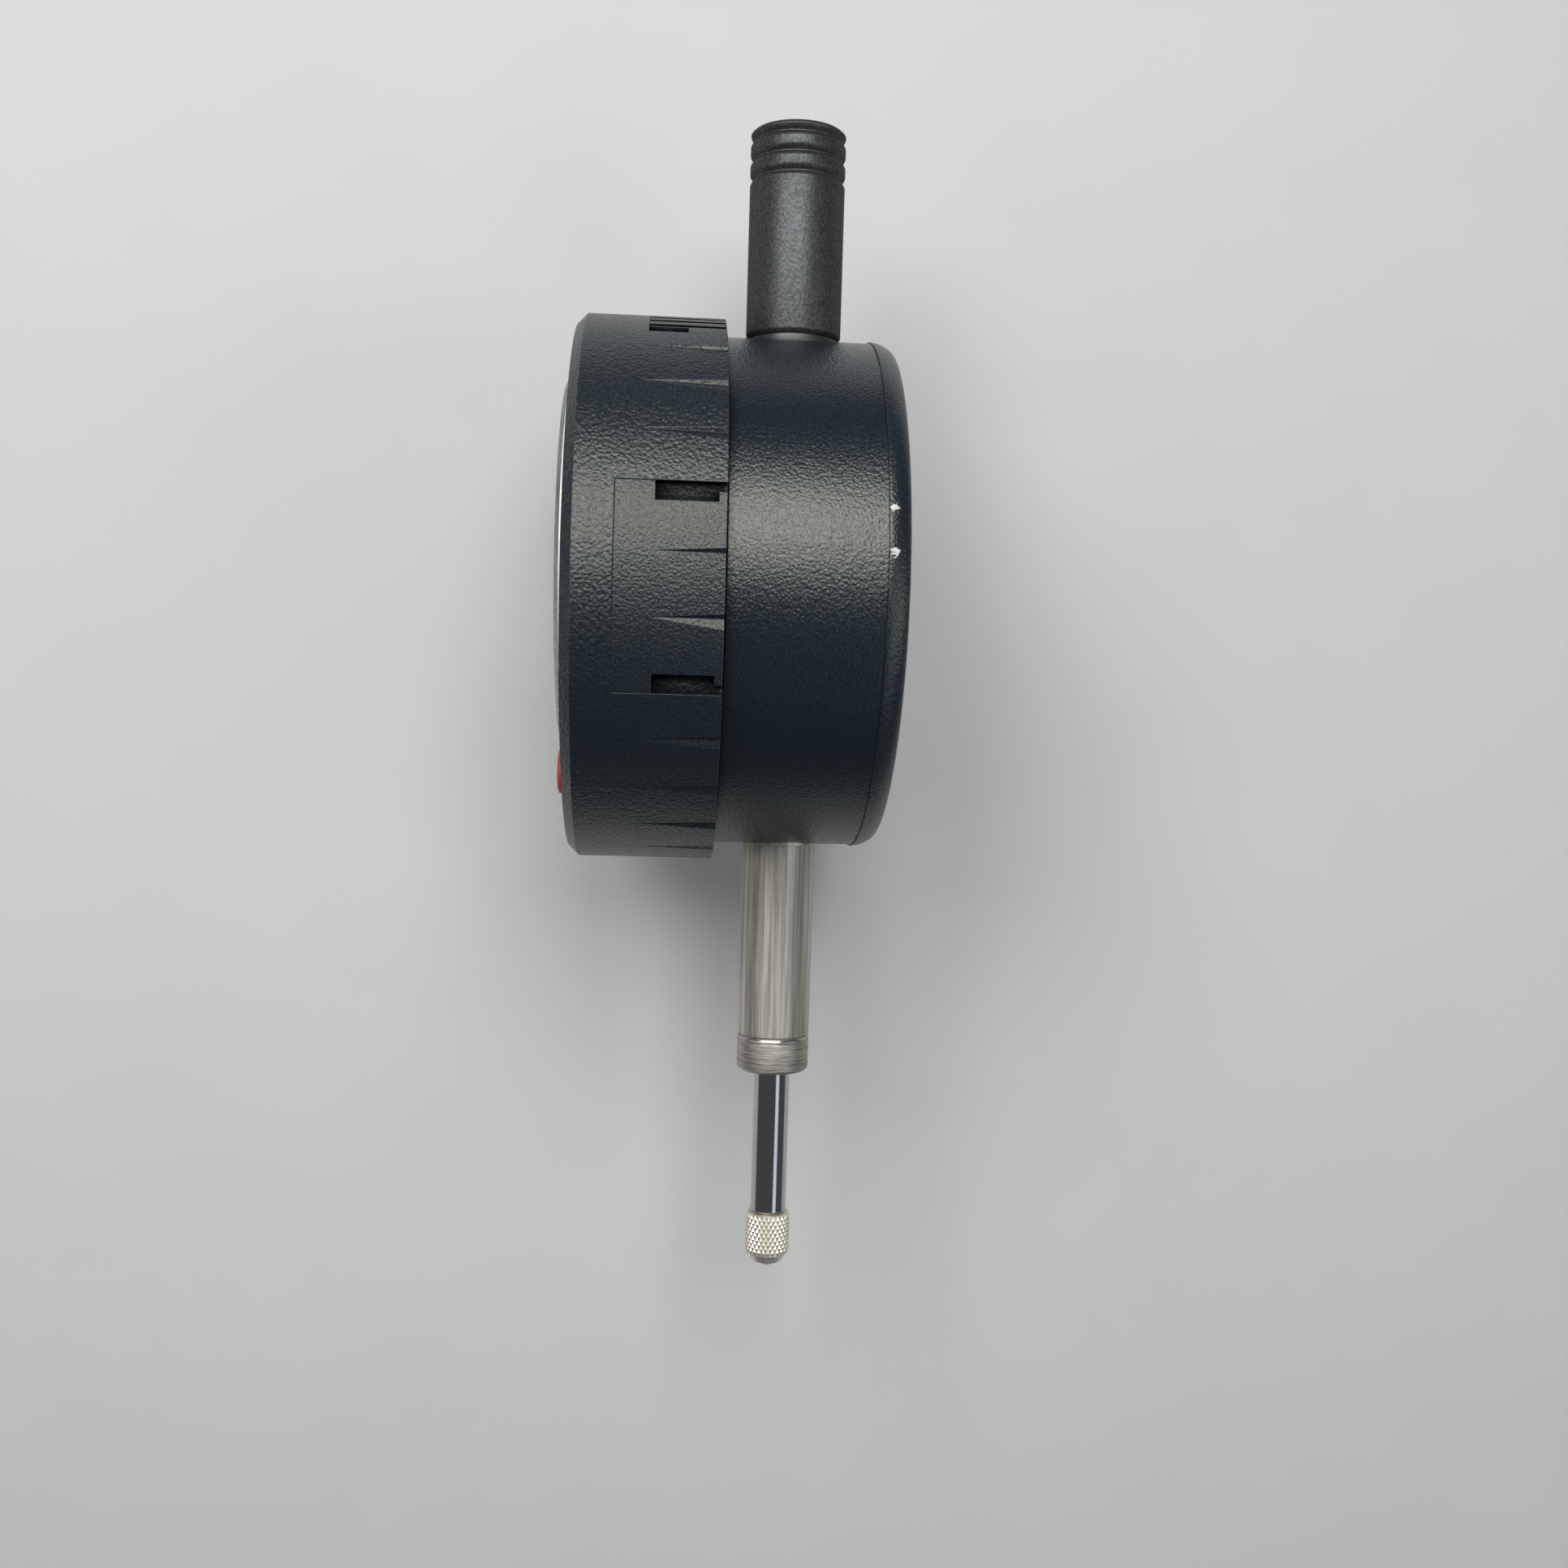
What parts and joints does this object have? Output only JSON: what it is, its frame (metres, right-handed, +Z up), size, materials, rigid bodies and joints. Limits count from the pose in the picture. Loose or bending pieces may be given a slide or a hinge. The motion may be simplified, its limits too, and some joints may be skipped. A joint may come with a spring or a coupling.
{
  "type": "digital indicator",
  "caption": "Plunger type digital indicator with a turning round display head, plain stem, sprung spindle, knurled contact point and dust cap.",
  "frame": {"origin": "on the stem's axis, in the middle of the length that a clamp may hold", "axes": "+Z up along the stem towards the dust cap, -Y out of the display, +X to the right as the display is read"},
  "size_m": [0.0582, 0.0339, 0.1253],
  "materials": {
    "moulded_black": "fine leather grain",
    "anodised_black": "satin anodised",
    "ground_steel": "ground",
    "polished_steel": "polished",
    "knurled_steel": "diamond knurled",
    "hard_metal": "ground",
    "nickel_brass": "nickel plated",
    "zinc_steel": "zinc plated",
    "spring_steel": "bright",
    "cell_steel": "plated",
    "bracket_aluminium": "milled",
    "black_rubber": "dull",
    "grey_silicone": "dull",
    "silver_panel": "fine satin",
    "clear_window": "clear",
    "display_green": "satin",
    "button_grey": "satin",
    "button_red": "satin",
    "inner_black": "satin",
    "board_green": "solder resist",
    "scale_film": "plain",
    "cable_film": "film"
  },
  "bodies": {
    "case": {"body_case": "moulded_black", "back_cover": "moulded_black", "back_cover_screws": "zinc_steel", "stem": "ground_steel", "lower_bush": "ground_steel", "upper_bush": "nickel_brass", "dust_cap": "anodised_black", "bumper": "black_rubber", "retaining_ring": "spring_steel", "sensor_board": "board_green", "sensor_chip": "inner_black", "guide_rail": "spring_steel", "spring_post": "spring_steel", "return_spring": "spring_steel", "ribbon_cable": "cable_film"},
    "spindle": {"spindle": "polished_steel", "contact_point": "knurled_steel", "contact_tip": "hard_metal", "spindle_bracket": "bracket_aluminium", "bracket_screws": "zinc_steel", "scale_strip": "scale_film", "guide_pin": "nickel_brass"},
    "head": {"head_shell": "moulded_black", "face_plate": "silver_panel", "lens": "clear_window", "key_mat": "grey_silicone", "lcd_glass": "display_green", "lcd_frame": "inner_black", "contact_strips": "black_rubber", "display_board": "board_green", "display_chip": "inner_black", "head_stop_pin": "nickel_brass", "cell_contact_plus": "cell_steel", "cell_contact_minus": "cell_steel", "data_socket": "inner_black"},
    "battery_tray": {"battery_tray": "moulded_black", "coin_cell": "cell_steel"},
    "port_cover": {"port_cover": "moulded_black"},
    "button_left": {"button_left": "button_grey"},
    "button_middle": {"button_middle": "button_grey"},
    "button_right": {"button_right": "button_red"}
  },
  "joints": [
    {"name": "spindle_travel", "type": "slide", "parent": "case", "child": "spindle", "axis": [0, 0, 1], "range_m": [0, 0.0127], "stiffness_N_per_m": 50, "springref_m": -0.015, "deforming": ["return_spring"]},
    {"name": "head_turn", "type": "hinge", "parent": "case", "child": "head", "pos_m": [0, 0, 0.038], "axis": [0, 1, 0], "range_deg": [-165, 165], "deforming": ["ribbon_cable"]},
    {"name": "tray_slide", "type": "slide", "parent": "head", "child": "battery_tray", "axis": [0.9991, 0, -0.0419], "range_m": [0, 0.02]},
    {"name": "port_slide", "type": "slide", "parent": "head", "child": "port_cover", "axis": [0.2924, 0, 0.9563], "range_m": [0, 0.006]},
    {"name": "button_left_press", "type": "slide", "parent": "head", "child": "button_left", "axis": [0, 1, 0], "range_m": [0, 0.0008], "stiffness_N_per_m": 1000, "springref_m": -0.0002, "deforming": ["key_mat"]},
    {"name": "button_middle_press", "type": "slide", "parent": "head", "child": "button_middle", "axis": [0, 1, 0], "range_m": [0, 0.0008], "stiffness_N_per_m": 1000, "springref_m": -0.0002, "deforming": ["key_mat"]},
    {"name": "button_right_press", "type": "slide", "parent": "head", "child": "button_right", "axis": [0, 1, 0], "range_m": [0, 0.0008], "stiffness_N_per_m": 1000, "springref_m": -0.0002, "deforming": ["key_mat"]}
  ]
}
